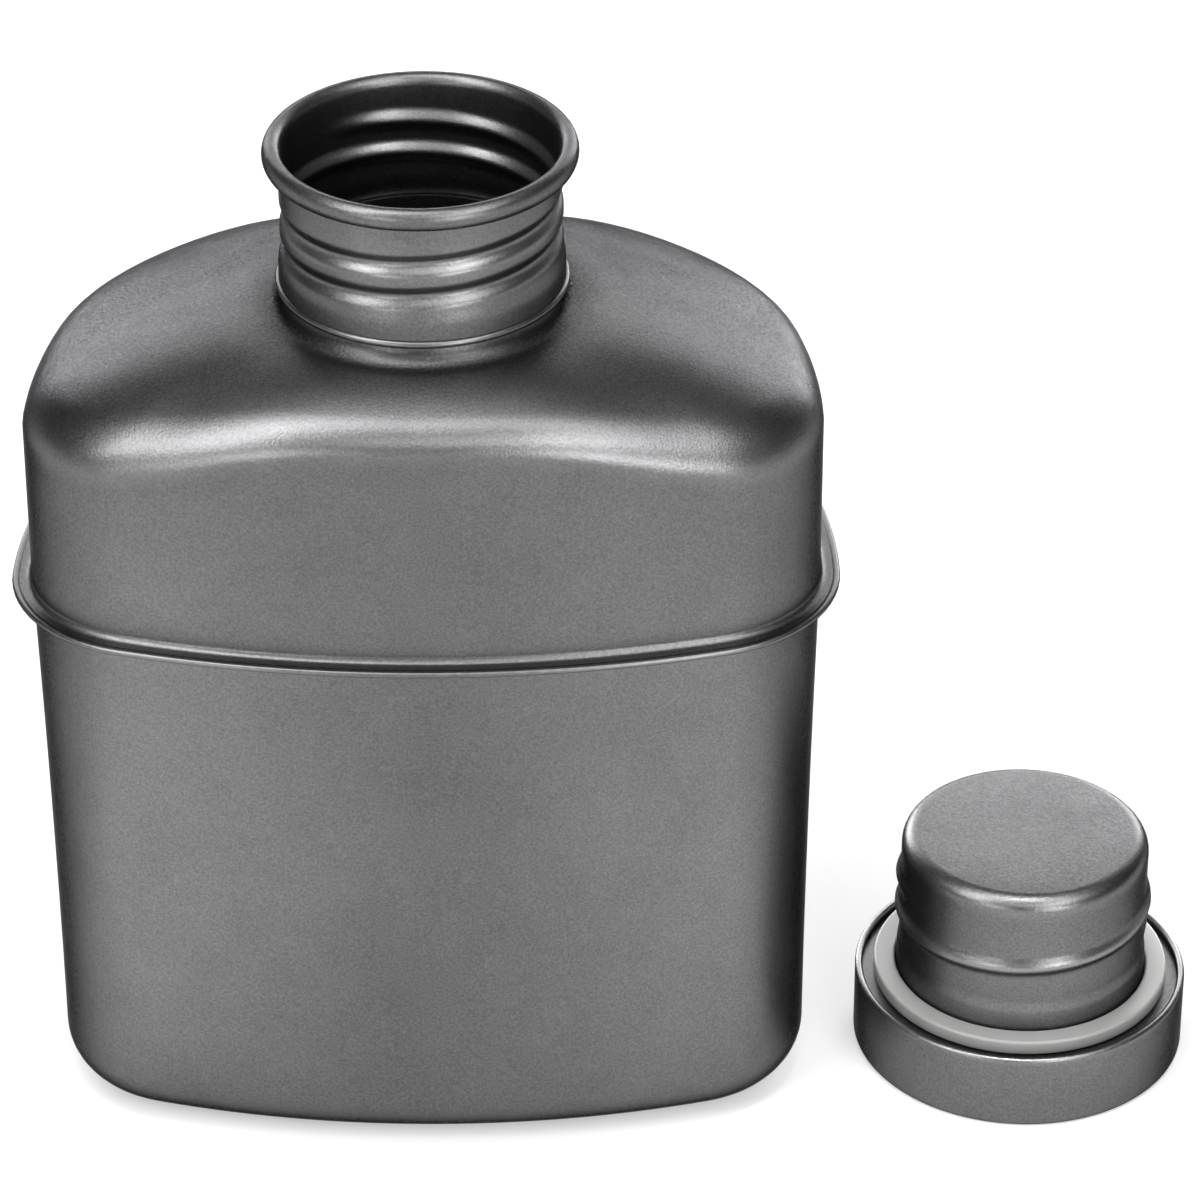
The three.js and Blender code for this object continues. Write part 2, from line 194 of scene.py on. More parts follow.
class CapSizes(bpy.types.PropertyGroup):
    """Sizes of the cap, which stands on its outer face."""
    x: length("Place X", "Cap axis beside the bottle", 0.1042)
    y: length("Place Y", "Cap axis in depth", -0.0027)
    cover_radius: length("Cover radius", "Outer radius of disc and skirt", 0.0293)
    cover_height: length("Cover height", "Height of the skirt", 0.0143)
    cover_fillet: length("Cover fillet", "Rounding of the disc", 0.001)
    hem_width: length("Hem width", "Width of the folded rim", 0.0013)
    hem_depth: length("Hem depth", "From the rim down to the plug's flange", 0.0015)
    plug_radius: length("Plug radius", "Radius of the plain plug", 0.0217)
    plug_height: length("Plug height", "End face of the plug", 0.0426)
    plug_fillet: length("Plug fillet", "Rounding of the plug's end", 0.0029)
    foot_swell: length("Foot swell", "How much the plug widens above its flange", 0.0003)
    foot_top: length("Foot top", "Top of the widened foot", 0.019)
    foot_blend: length("Foot blend", "Height over which it narrows", 0.0024)
    flange_fillet: length("Flange fillet", "Fillet between plug and flange", 0.0006)
    ring_width: length("Ring width", "Width of the sealing ring", 0.00375)
    ring_height: length("Ring height", "Height of the sealing ring", 0.0027)
    ring_fillet: length("Ring fillet", "Rounding of its edges", 0.0005)
    ring_gap: length("Ring gap", "Clearance round the sealing ring", 0.00025)
    ridge_depth: length("Ridge depth", "Height of the rolled ridge", 0.0009)
    ridge_width: length("Ridge width", "Width of the rolled ridge", 0.0043)
    ridge_start: length("Ridge start", "Height at which the ridge begins", 0.02395)
    ridge_turns: number("Ridge turns", "Length of the ridge in turns", 1.63)
    ridge_angle: turn_angle("Ridge angle", "Where the ridge begins, from the front", math.radians(70))


class FinishColours(bpy.types.PropertyGroup):
    """Colours of the finishes."""
    titanium: colour("Titanium", "Bead-blasted titanium", (0.13, 0.13, 0.132))
    weld: colour("Weld", "Smooth weld bead", (0.15, 0.15, 0.152))
    silicone: colour("Silicone", "Sealing ring", (0.2, 0.198, 0.195))
    grain: length("Grain", "Size of the blasted grain", 0.00042)
    # how much brighter the titanium is where it is worn and where highlights are painted in
    rub_and_painted_highlight: part_of_one("Rub", "How much brighter the titanium is where it is rubbed", 0.7)
    edge_shine: part_of_one("Edge shine", "How bright the metal is at a glancing angle", 0.15)


class StudioSizes(bpy.types.PropertyGroup):
    """Floor, lamps and camera."""
    floor: length("Floor", "Width of the floor", 8.0)
    floor_colour: colour("Floor", "Colour of the floor", (0.72, 0.72, 0.72))
    left_power: lamp_power("Left lamp", "Power of the tall lamp on the left", 9.8)
    right_power: lamp_power("Right lamps", "Power that the lamps in front and on the right share", 4.8)
    low_power: lamp_power("Low lamp", "Power of the low lamp on the left", 2.8)
    top_power: lamp_power("Top lamps", "Power that the lamps above share", 4.8)
    back_power: lamp_power("Back lamps", "Power that the lamps behind share", 9.4)
    floor_power: lamp_power("Floor lamps", "Power of each lamp over the floor in front", 38)
    floor_glow: part_of_one("Floor glow", "Share of plain white in what is seen of the near floor", 0.4)
    dim: part_of_one("Room", "Level of the room above the horizon", 0.06)
    lens: number("Lens", "Focal length of the camera in mm", 166.3)
    tilt: turn_angle("Tilt", "How far the camera looks down", 0.557)
    steps: IntProperty(name="Turning steps", description="Steps round a turned piece", default=160)


# Outline of the body

def arc(x, y, radius, start, end, steps):
    return [Vector((x + radius * math.cos(a), y + radius * math.sin(a)))
            for a in (start + (end - start) * i / steps for i in range(steps + 1))]


def outline(body, inset):
    """The body outline drawn in by the inset, counterclockwise from the middle of the front."""
    front = Vector((0, body.front_radius - body.front))
    corner_x = body.width / 2 - body.corner_radius
    reach = body.front_radius - body.corner_radius
    corner = Vector((corner_x, front.y - math.sqrt(reach ** 2 - corner_x ** 2)))
    side = Vector((body.width / 2 - body.side_radius, corner.y))
    lobe_y = body.lobe_depth - body.lobe_radius
    lobe_x = side.x + math.sqrt((body.side_radius - body.lobe_radius) ** 2 - (lobe_y - side.y) ** 2)
    lobe = Vector((lobe_x, lobe_y))
    hollow_radius = ((lobe_x ** 2 + (lobe_y - body.hollow_depth) ** 2 - body.lobe_radius ** 2)
                     / (2 * (body.lobe_depth - body.hollow_depth)))
    hollow = Vector((0, body.hollow_depth + hollow_radius))
    to_corner = math.atan2(corner.y - front.y, corner.x - front.x)
    to_lobe = math.atan2(lobe.y - side.y, lobe.x - side.x)
    to_hollow = math.atan2(hollow.y - lobe.y, hollow.x - lobe.x)
    stretches = (
        arc(*front, body.front_radius - inset, -QUARTER, to_corner, 14),
        arc(*corner, body.corner_radius - inset, to_corner, 0, 14),
        arc(*side, body.side_radius - inset, 0, to_lobe, 8),
        arc(*lobe, body.lobe_radius - inset, to_lobe, to_hollow, 18),
        arc(*hollow, hollow_radius + inset, to_hollow + math.pi, 3 * QUARTER, 12),
    )
    half = stretches[0] + [p for points in stretches[1:] for p in points[1:]]
    return half + [Vector((-p.x, p.y)) for p in reversed(half[1:-1])]


def outline_ring(body, inset, z):
    return [Vector((p.x, p.y, z)) for p in outline(body, inset)]


def collar_ring(body, radius, z):
    return [Vector((*(p.normalized() * radius), z)) for p in outline(body, body.ledge)]


def wall_inset(body, z):
    """How far the lower wall stands inside the flange's edge at this height."""
    return body.ledge + body.draft * (1 - (z / body.flange_height) ** 2)


def sheet_edge(body):
    """How far inside the bead's outer edge the flange sheets end."""
    return body.weld_width + SHEET_END


# Modelling

def start_piece(name, add, **settings):
    bpy.ops.object.select_all(action="DESELECT")
    add(**settings)
    piece = bpy.context.object
    piece.name = piece.data.name = name
    bpy.ops.object.mode_set(mode="EDIT")
    return piece


def place_key(point):
    return tuple(round(value, 8) for value in point)


def extruded_rings(name, rings, fill_first=False, wrap=False):
    """A circle laid on the first ring and extruded on to each of the others."""
    piece = start_piece(name, bpy.ops.mesh.primitive_circle_add, vertices=len(rings[0]), radius=1)
    mesh = bmesh.from_edit_mesh(piece.data)
    mesh.verts.ensure_lookup_table()
    by_angle = sorted(mesh.verts, key=lambda v: math.atan2(v.co.x, -v.co.y) % TURN)
    for vertex, point in zip(by_angle, rings[0]):
        vertex.co = point
    for before, after in zip(rings, rings[1:]):
        bpy.ops.mesh.extrude_region_move()
        target = {place_key(mesh_point(p)): q for p, q in zip(before, after)}
        for vertex in [v for v in mesh.verts if v.select]:
            vertex.co = target[place_key(vertex.co)]
    if wrap:
        bpy.ops.mesh.select_all(action="DESELECT")
        bpy.ops.mesh.select_non_manifold()
        bpy.ops.mesh.bridge_edge_loops()
    if fill_first:
        close_centre(mesh, rings[0])
    bmesh.update_edit_mesh(piece.data)
    return finish_mesh(piece)


def mesh_point(point):
    """The point as a mesh stores it, in single precision."""
    return Vector(point).to_3d()


def close_centre(mesh, ring):
    """Draws the first ring in, in steps, and merges it in the middle."""
    bpy.ops.mesh.select_all(action="DESELECT")
    places = {place_key(mesh_point(p)) for p in ring}
    for vertex in mesh.verts:
        vertex.select = place_key(vertex.co) in places
    mesh.select_flush_mode()
    for share in (0.7, 0.5):
        bpy.ops.mesh.extrude_region_move()
        bpy.ops.transform.resize(value=(share, share, 1), center_override=(0, 0, 0))
    bpy.ops.mesh.extrude_region_move()
    bpy.ops.mesh.merge(type="CENTER")


def turned(name, profile, centre, steps):
    """A chain of vertices drawn through (radius, height) points and spun round the centre."""
    piece = start_piece(name, bpy.ops.mesh.primitive_plane_add, size=0.001)
    bpy.ops.mesh.merge(type="CENTER")
    mesh = bmesh.from_edit_mesh(piece.data)
    mesh.verts.ensure_lookup_table()
    mesh.verts[0].co = (centre[0], centre[1] - profile[0][0], profile[0][1])
    for before, after in zip(profile, profile[1:]):
        bpy.ops.mesh.extrude_vertices_move(
            TRANSFORM_OT_translate={"value": (0, before[0] - after[0], after[1] - before[1])})
    bpy.ops.mesh.select_all(action="SELECT")
    bpy.ops.mesh.spin(steps=steps, angle=TURN, center=(*centre, 0), axis=(0, 0, 1), dupli=False)
    return finish_mesh(piece)


def turned_for_neck(name, profile):
    return turned(name, profile, (0, 0), bpy.context.scene.canteen_studio.steps)


def turned_for_cap(name, profile):
    cap = bpy.context.scene.canteen_cap
    return turned(name, profile, (cap.x, cap.y), bpy.context.scene.canteen_studio.steps)


def finish_mesh(piece):
    bpy.ops.mesh.select_all(action="SELECT")
    bpy.ops.mesh.remove_doubles(threshold=MERGE_DISTANCE)
    bpy.ops.mesh.normals_make_consistent(inside=False)
    bpy.ops.object.mode_set(mode="OBJECT")
    bpy.ops.object.shade_smooth()
    return piece


def apply_modifier(piece, name, kind, **settings):
    modifier = piece.modifiers.new(name, kind)
    for key, value in settings.items():
        setattr(modifier, key, value)
    bpy.context.view_layer.objects.active = piece
    bpy.ops.object.modifier_apply(modifier=modifier.name)


def thicken(piece, sheet, side):
    """Gives the drawn outer face its sheet; side is 1 where the faces look into the bottle, else -1."""
    apply_modifier(piece, "Sheet", "SOLIDIFY", thickness=sheet, offset=side, use_even_offset=True,
                   use_quality_normals=True)


def keep_edges(piece, angle=40):
    bpy.ops.object.select_all(action="DESELECT")
    piece.select_set(True)
    bpy.context.view_layer.objects.active = piece
    bpy.ops.object.shade_smooth_by_angle(angle=math.radians(angle))


def roll_thread(piece, centre, depth, start, angle, turns, width, pitch, fade):
    """Moves each place along its radius by the rolled thread's height there, but none near the axis."""
    for vertex in piece.data.vertices:
        x, y, z = vertex.co.x - centre[0], vertex.co.y - centre[1], vertex.co.z
        radius = math.hypot(x, y)
        if radius < width:
            continue
        turned_by = math.atan2(x, -y) - angle
        laps = round((z - start) / pitch - turned_by / TURN)
        along = turned_by + laps * TURN
        off = z - start - pitch * along / TURN
        share = min(along, turns * TURN - along) / fade
        if share <= 0 or abs(off) >= width / 2:
            continue
        share = min(share, 1)
        share = share * share * (3 - 2 * share) * (1 + math.cos(TURN * off / width)) / 2
        vertex.co.x += x / radius * depth * share
        vertex.co.y += y / radius * depth * share


def levels(low, high, count):
    """Evenly spaced values from low to high, both included."""
    return [low + (high - low) * i / count for i in range(count + 1)]


def hand_over(piece, body, nodes, finish):
    """Gives the piece its finish, hangs it under its body and hides the CAD nodes that it stands for."""
    piece.data.materials.clear()
    piece.data.materials.append(finish)
    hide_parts(*nodes)
    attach(piece, body)


# Finishes

class Signal:
    """A shader socket that takes part in plain sums."""

    def __init__(self, recipe, socket):
        self.recipe, self.socket = recipe, socket

    def sum(self, operation, *values):
        return self.recipe.node("ShaderNodeMath", {"operation": operation}, dict(enumerate(values)))

    def __add__(self, other):
        return self.sum("ADD", self, other)

    def __sub__(self, other):
        return self.sum("SUBTRACT", self, other)

    def __rsub__(self, other):
        return self.sum("SUBTRACT", other, self)

    def __mul__(self, other):
        return self.sum("MULTIPLY", self, other)

    def __truediv__(self, other):
        return self.sum("DIVIDE", self, other)

    def __pow__(self, other):
        return self.sum("POWER", self, other)

    def __abs__(self):
        return self.sum("ABSOLUTE", self)

    def at_least(self, other):
        return self.sum("MAXIMUM", self, other)

    def near(self, other, reach):
        """1 where both are equal, falling to 0 where they are the reach apart."""
        return (1 - abs(self - other) / reach).at_least(0)

    __radd__ = __add__
    __rmul__ = __mul__


class Recipe:
    """The nodes of one material or world."""

    def __init__(self, owner):
        owner.use_nodes = True
        self.tree = owner.node_tree
        self.tree.nodes.clear()

    def node(self, kind, settings=None, values=None, output=0):
        """Adds a node, sets it, fills or links its sockets and gives back one output."""
        made = self.tree.nodes.new(kind)
        for key, value in (settings or {}).items():
            setattr(made, key, value)
        for key, value in (values or {}).items():
            if isinstance(value, Signal):
                self.tree.links.new(value.socket, made.inputs[key])
            else:
                made.inputs[key].default_value = value
        return Signal(self, made.outputs[output]) if made.outputs else made

    def noise(self, place, size, detail=2.0):
        return self.node("ShaderNodeTexNoise", None,
                         {"Vector": place, "Scale": 1 / size, "Detail": detail, "Roughness": 0.55})

    def place(self):
        return self.node("ShaderNodeTexCoord", output="Object")

    def along(self, place, axis):
        return self.node("ShaderNodeSeparateXYZ", None, {0: place}, output=axis)

    def between(self, share, low, high):
        return self.blend(share, (*low, 1), (*high, 1))

    def blend(self, share, first, second):
        return self.node("ShaderNodeMix", {"data_type": "RGBA"}, {0: share, 6: first, 7: second}, output=2)

    def surface(self, shader):
        self.node("ShaderNodeOutputMaterial", None, {"Surface": shader})


def grey(level):
    return (level, level, level, 1)


def shaded(level, rate):
    return tuple(min(1, value * rate) for value in level)


def rubbed_edges_and_painted_highlights(recipe, place):
    """Where the metal is brighter, and how much: 0 not at all, about 1 down to bright metal. Partly worn
    metal, partly painted highlights where the shoulder's crest, the lip, the neck's groove, the plug's ridge
    and end and the cap's rim catch the lamps.
    """
    scene = bpy.context.scene
    body, neck, cap = scene.canteen_body, scene.canteen_neck, scene.canteen_cap
    x, y, height = (recipe.along(place, axis) for axis in "XYZ")
    across = x / (body.width / 2 - body.ledge)
    spread, power = body.front_fall
    crest = (1 - abs(across) ** spread).at_least(0) ** power * (body.wall_top_front - body.wall_top_side)
    shoulder = height.near(crest + body.wall_top_side + body.round_height * 0.55, body.round_height)
    lip = height.near(neck.top, neck.lip_half_height * 0.5)
    from_neck = (x ** 2 + y ** 2) ** 0.5
    thread = (from_neck.near(neck.inner_radius + body.sheet - neck.groove_depth * 0.5, neck.groove_depth)
              * height.near((neck.bottom + neck.top) / 2, neck.pitch * 1.6))
    from_cap = ((x - cap.x) ** 2 + (y - cap.y) ** 2) ** 0.5
    ridge = from_cap.near(cap.plug_radius + cap.ridge_depth, cap.ridge_depth * 0.8)
    end = (from_cap.near(cap.plug_radius, cap.plug_fillet)
           * height.near(cap.plug_height - cap.plug_fillet / 2, cap.plug_fillet))
    rim = (from_cap.near(cap.cover_radius - cap.hem_width / 2, cap.hem_width)
           * height.near(cap.cover_height, cap.hem_width))
    # weights of the painted highlights, mixed with wear, place by place
    return shoulder * 0.5 + lip * 0.2 + thread * 0.8 + ridge + end * 0.4 + rim


def painted_shade_under_neck(recipe, place):
    """Painted shade: a darker ring in the fillet round the foot of the neck, where the neck shades the
    shoulder and is mirrored in it.
    """
    body, neck = bpy.context.scene.canteen_body, bpy.context.scene.canteen_neck
    fillet = neck.collar_fillet
    from_neck = (recipe.along(place, "X") ** 2 + recipe.along(place, "Y") ** 2) ** 0.5
    return (from_neck.near(neck.inner_radius + fillet / 2, fillet * 2.2)
            * recipe.along(place, "Z").near(body.shoulder_top + fillet / 2, fillet * 0.8))


def titanium_finish(colours):
    material = bpy.data.materials.new("bead_blasted_titanium")
    recipe = Recipe(material)
    place = recipe.place()
    grain = recipe.noise(place, colours.grain, 3.0)
    clouds = recipe.noise(place, CLOUDS, 3.0)
    handling = recipe.noise(place, HANDLING, 4.0)
    # painted highlights and wear, broken up by the handling marks
    rubbed_and_painted_bright = rubbed_edges_and_painted_highlights(recipe, place) * (0.6 + handling * 0.8)
    # painted shade under the neck darkens the tone there
    tone = grain * 0.9 + clouds * 0.23 + handling * 0.15 - 0.14 - painted_shade_under_neck(recipe, place) * 0.7
    dark, light = 0.4, 1.6   # the grain's range, as shares of the colour
    bare = recipe.between(tone, shaded(colours.titanium, dark), shaded(colours.titanium, light))
    # brighter copy of the colour, for worn places and painted highlights
    bright = recipe.between(tone, shaded(colours.titanium, dark + colours.rub_and_painted_highlight),
                            shaded(colours.titanium, light + colours.rub_and_painted_highlight))
    metal = recipe.blend(rubbed_and_painted_bright, bare, bright)
    roughness = 0.3 + clouds * 0.05 + grain * 0.06 - rubbed_and_painted_bright * 0.04
    bump = recipe.node("ShaderNodeBump", None, {"Strength": 0.8, "Distance": GRAIN_BUMP, "Height": grain})
    recipe.surface(recipe.node("ShaderNodeBsdfPrincipled", None, {
        "Base Color": metal, "Metallic": 1.0, "Roughness": roughness, "Normal": bump,
        "Specular Tint": grey(colours.edge_shine)}))
    return material


def weld_finish(colours):
    material = bpy.data.materials.new("smooth_weld_bead")
    recipe = Recipe(material)
    place = recipe.place()
    ripple = recipe.noise(place, WELD_RIPPLE, 1.0)
    tone = recipe.between(ripple, shaded(colours.weld, 0.8), shaded(colours.weld, 1.2))
    bump = recipe.node("ShaderNodeBump", None, {"Strength": 0.15, "Distance": WELD_BUMP, "Height": ripple})
    recipe.surface(recipe.node("ShaderNodeBsdfPrincipled", None, {
        "Base Color": tone, "Metallic": 1.0, "Roughness": 0.3 + ripple * 0.08, "Normal": bump,
        "Specular Tint": grey(colours.edge_shine)}))
    return material


def silicone_finish(colours):
    material = bpy.data.materials.new("grey_silicone")
    recipe = Recipe(material)
    place = recipe.place()
    dust = recipe.noise(place, SILICONE_DUST, 4.0)
    fine = recipe.noise(place, SILICONE_GRAIN, 2.0)
    tone = recipe.between(dust, shaded(colours.silicone, 0.93), shaded(colours.silicone, 1.07))
    bump = recipe.node("ShaderNodeBump", None, {"Strength": 0.15, "Distance": SILICONE_BUMP, "Height": fine})
    recipe.surface(recipe.node("ShaderNodeBsdfPrincipled", None, {
        "Base Color": tone, "Roughness": 0.42 + dust * 0.12, "Normal": bump}))
    return material


def finish_named(name, make):
    """The finish of this name, made at its first use."""
    return bpy.data.materials.get(name) or make(bpy.context.scene.canteen_finish)


def titanium():
    return finish_named("bead_blasted_titanium", titanium_finish)


# Pieces

class CANTEEN_OT_lower_shell(bpy.types.Operator):
    """Draws the lower half shell with its base and flange"""
    bl_idname = "canteen.lower_shell"
    bl_label = "Lower half shell"

    def execute(self, context):
        body = context.scene.canteen_body
        fillet = body.base_fillet
        base_inset = wall_inset(body, fillet) + fillet
        ledge_z = body.flange_height - body.sheet - body.ledge_fillet
        ledge_inset = wall_inset(body, ledge_z) - body.ledge_fillet
        rings = [outline_ring(body, base_inset - p.x, fillet + p.y)
                 for p in arc(0, 0, fillet, -QUARTER, 0, 10)]
        rings += [outline_ring(body, wall_inset(body, z), z) for z in levels(fillet, ledge_z, 16)[1:-1]]
        rings += [outline_ring(body, ledge_inset - p.x, ledge_z + p.y)
                  for p in arc(0, 0, body.ledge_fillet, math.pi, QUARTER, 5)]
        rings += [outline_ring(body, inset, body.flange_height - body.sheet)
                  for inset in (ledge_inset - FLAT_STRIP, sheet_edge(body))]
        piece = extruded_rings("bottle_lower_half", rings, fill_first=True)
        thicken(piece, body.sheet, 1)
        keep_edges(piece)
        hand_over(piece, "bottle", ["lower_shell"], titanium())
        return {"FINISHED"}


class CANTEEN_OT_upper_shell(bpy.types.Operator):
    """Draws the upper half shell from its flange over the shoulder to the collar"""
    bl_idname = "canteen.upper_shell"
    bl_label = "Upper half shell"

    def execute(self, context):
        body, neck = context.scene.canteen_body, context.scene.canteen_neck
        flange_top = body.flange_height + body.sheet
        fillet = body.ledge_fillet
        rings = [outline_ring(body, inset, flange_top)
                 for inset in (sheet_edge(body), body.ledge - fillet - FLAT_STRIP)]
        rings += [outline_ring(body, body.ledge - fillet + p.x, flange_top + fillet + p.y)
                  for p in arc(0, 0, fillet, -QUARTER, 0, 5)]
        collar_radius = neck.inner_radius + neck.foot_swell - neck.fit_gap
        foot = collar_radius + neck.collar_fillet
        paths = self.shoulder_paths(body, foot)
        wall_foot = flange_top + fillet
        rings += [[Vector((*start, wall_foot + (top - wall_foot) * share))
                   for start, run, top, scale in paths] for share in levels(0, 1, 7)[1:]]
        rings += [self.shoulder_ring(body, paths, lambda reach, width, c=1 - math.cos(angle): width * c)
                  for angle in levels(0, QUARTER, 10)[1:]]
        rings += [self.shoulder_ring(body, paths, lambda reach, width, s=share: width + s * (reach - width))
                  for share in levels(0, 1, 10)[1:-1]]
        rings += [collar_ring(body, foot + p.x, body.shoulder_top + neck.collar_fillet + p.y)
                  for p in arc(0, 0, neck.collar_fillet, -QUARTER, -math.pi, 6)]
        rings.append(collar_ring(body, collar_radius, neck.bottom + neck.collar_lap))
        piece = extruded_rings("bottle_upper_half", rings)
        thicken(piece, body.sheet, -1)
        keep_edges(piece)
        hand_over(piece, "bottle", ["upper_shell"], titanium())
        return {"FINISHED"}

    def shoulder_paths(self, body, radius):
        """Where each run of the shoulder starts, how it goes to the collar and how high its wall is."""
        half_width = body.width / 2 - body.ledge
        widest = max(outline(body, body.ledge), key=lambda p: p.x).y
        paths = []
        for start in outline(body, body.ledge):
            across = min(1, abs(start.x) / half_width)
            spread, power = body.front_fall if start.y < widest else body.back_fall
            rise = (body.wall_top_front - body.wall_top_side) * (1 - across ** spread) ** power
            scale = 1 - (1 - across ** 2) * (1 - body.round_middle - body.round_swell * across ** 2)
            paths.append((start, start.normalized() * radius - start, body.wall_top_side + rise,
                          scale if start.y < widest else 1))
        return paths

    def shoulder_ring(self, body, paths, distance_of):
        """One ring over the shoulder, at the distance from the wall that the function gives."""
        longest = max(run.length for start, run, top, scale in paths)
        ring = []
        for start, run, top, scale in paths:
            reach, width, height = run.length, body.round_width * scale, body.round_height * scale
            distance = distance_of(reach, width)
            share = distance / reach
            rounding = max(0, 1 - distance / width)
            z = (top + height * math.sqrt(1 - rounding ** 2) + (body.shoulder_top - top - height) * share
                 + 4 * body.bow * share * (1 - share) * reach / longest)
            ring.append(Vector((*(start + run * share), z)))
        return ring


class CANTEEN_OT_welds(bpy.types.Operator):
    """Lays the weld bead round the flange and the one under the neck"""
    bl_idname = "canteen.welds"
    bl_label = "Weld beads"

    def execute(self, context):
        body, neck = context.scene.canteen_body, context.scene.canteen_neck
        finish = finish_named("smooth_weld_bead", weld_finish)
        lap = body.weld_width + body.weld_lap
        bead = [(lap, -BEAD_FOOT), (lap - BEAD_RUN_OUT, -1)]
        bead += [(body.weld_width * (1 - p.x), BEAD_CROWN * p.y)
                 for p in arc(0, 0, 1, -QUARTER, QUARTER, 10)]
        bead += [(lap - BEAD_RUN_OUT, 1), (lap, BEAD_FOOT)]
        rings = [outline_ring(body, inset, body.flange_height + body.sheet * height)
                 for inset, height in bead]
        piece = extruded_rings("flange_weld_bead", rings, wrap=True)
        hand_over(piece, "bottle", ["edge_weld"], finish)
        inner = neck.inner_radius + neck.foot_swell
        outer = inner + body.sheet
        middle = neck.bottom - neck.weld_drop
        profile = [(inner, middle - neck.weld_height)]
        profile += [(outer + neck.weld_width * p.x, middle + neck.weld_height * p.y)
                    for p in arc(0, 0, 1, -QUARTER, QUARTER, 12)]
        profile += [(outer - body.sheet / 2, middle + neck.weld_height), (outer - body.sheet / 2, middle),
                    (inner, middle), profile[0]]
        piece = turned_for_neck("neck_weld_bead", profile)
        hand_over(piece, "bottle", ["neck_weld"], finish)
        return {"FINISHED"}


class CANTEEN_OT_neck(bpy.types.Operator):
    """Turns the neck with its rolled lip and rolls the groove into it"""
    bl_idname = "canteen.neck"
    bl_label = "Threaded neck"

    def execute(self, context):
        body, neck = context.scene.canteen_body, context.scene.canteen_neck
        sheet = body.sheet
        lip_radius = neck.inner_radius + neck.lip_half_width
        lip_z = neck.top - neck.lip_half_height
        foot_top = neck.bottom + neck.collar_lap + neck.fit_gap
        inside = [(neck.inner_radius + neck.foot_swell, z) for z in levels(neck.bottom, foot_top, 3)]
        for z in levels(foot_top, lip_z - neck.lip_half_height, 46)[1:]:
            share = min(1, (z - foot_top) / neck.foot_blend)
            inside.append((neck.inner_radius + neck.foot_swell * (1 - share * share * (3 - 2 * share)), z))
        curl_end = -math.acos((sheet + neck.fit_gap - neck.lip_half_width) / neck.lip_half_width)
        curl = [(lip_radius + neck.lip_half_width * p.x, lip_z + neck.lip_half_height * p.y)
                for p in arc(0, 0, 1, math.pi, curl_end, 26)]
        curl += [(lip_radius + (neck.lip_half_width - sheet) * p.x,
                  lip_z + (neck.lip_half_height - sheet) * p.y)
                 for p in arc(0, 0, 1, curl_end, math.pi, 14)]
        profile = inside + curl + [(radius + sheet, z) for radius, z in reversed(inside)]
        profile.append(profile[0])
        piece = turned_for_neck("bottle_neck", profile)
        roll_thread(piece, (0, 0), -neck.groove_depth, neck.groove_start, neck.groove_angle,
                    neck.groove_turns, neck.groove_width, neck.pitch, neck.fade)
        keep_edges(piece, 50)
        hand_over(piece, "bottle", ["threaded_neck"], titanium())
        return {"FINISHED"}


class CANTEEN_OT_cap_cover(bpy.types.Operator):
    """Turns the cap's disc and skirt with its folded rim"""
    bl_idname = "canteen.cap_cover"
    bl_label = "Cap cover"

    def execute(self, context):
        sizes, sheet = context.scene.canteen_cap, context.scene.canteen_body.sheet
        hem = sizes.hem_width / 2
        fillet = sizes.cover_fillet
        edge = (sizes.cover_radius - fillet, fillet)
        flange_top = sizes.cover_height - sizes.hem_depth
        profile = [(0, 0), (edge[0] * 0.5, 0)]
        profile += [tuple(p) for p in arc(*edge, fillet, -QUARTER, 0, 6)]
        profile += [tuple(p) for p in arc(sizes.cover_radius - hem, sizes.cover_height - hem, hem,
                                          0, math.pi, 10)]
        profile += [(sizes.cover_radius - sizes.hem_width, flange_top),
                    (sizes.cover_radius - sheet, flange_top)]
        profile += [tuple(p) for p in arc(*edge, fillet - sheet, 0, -QUARTER, 5)]
        profile += [(edge[0] * 0.5, sheet), (0, sheet)]
        piece = turned_for_cap("cap_disc_and_skirt", profile)
        keep_edges(piece)
        hand_over(piece, "cap", ["cap_cover"], titanium())
        return {"FINISHED"}


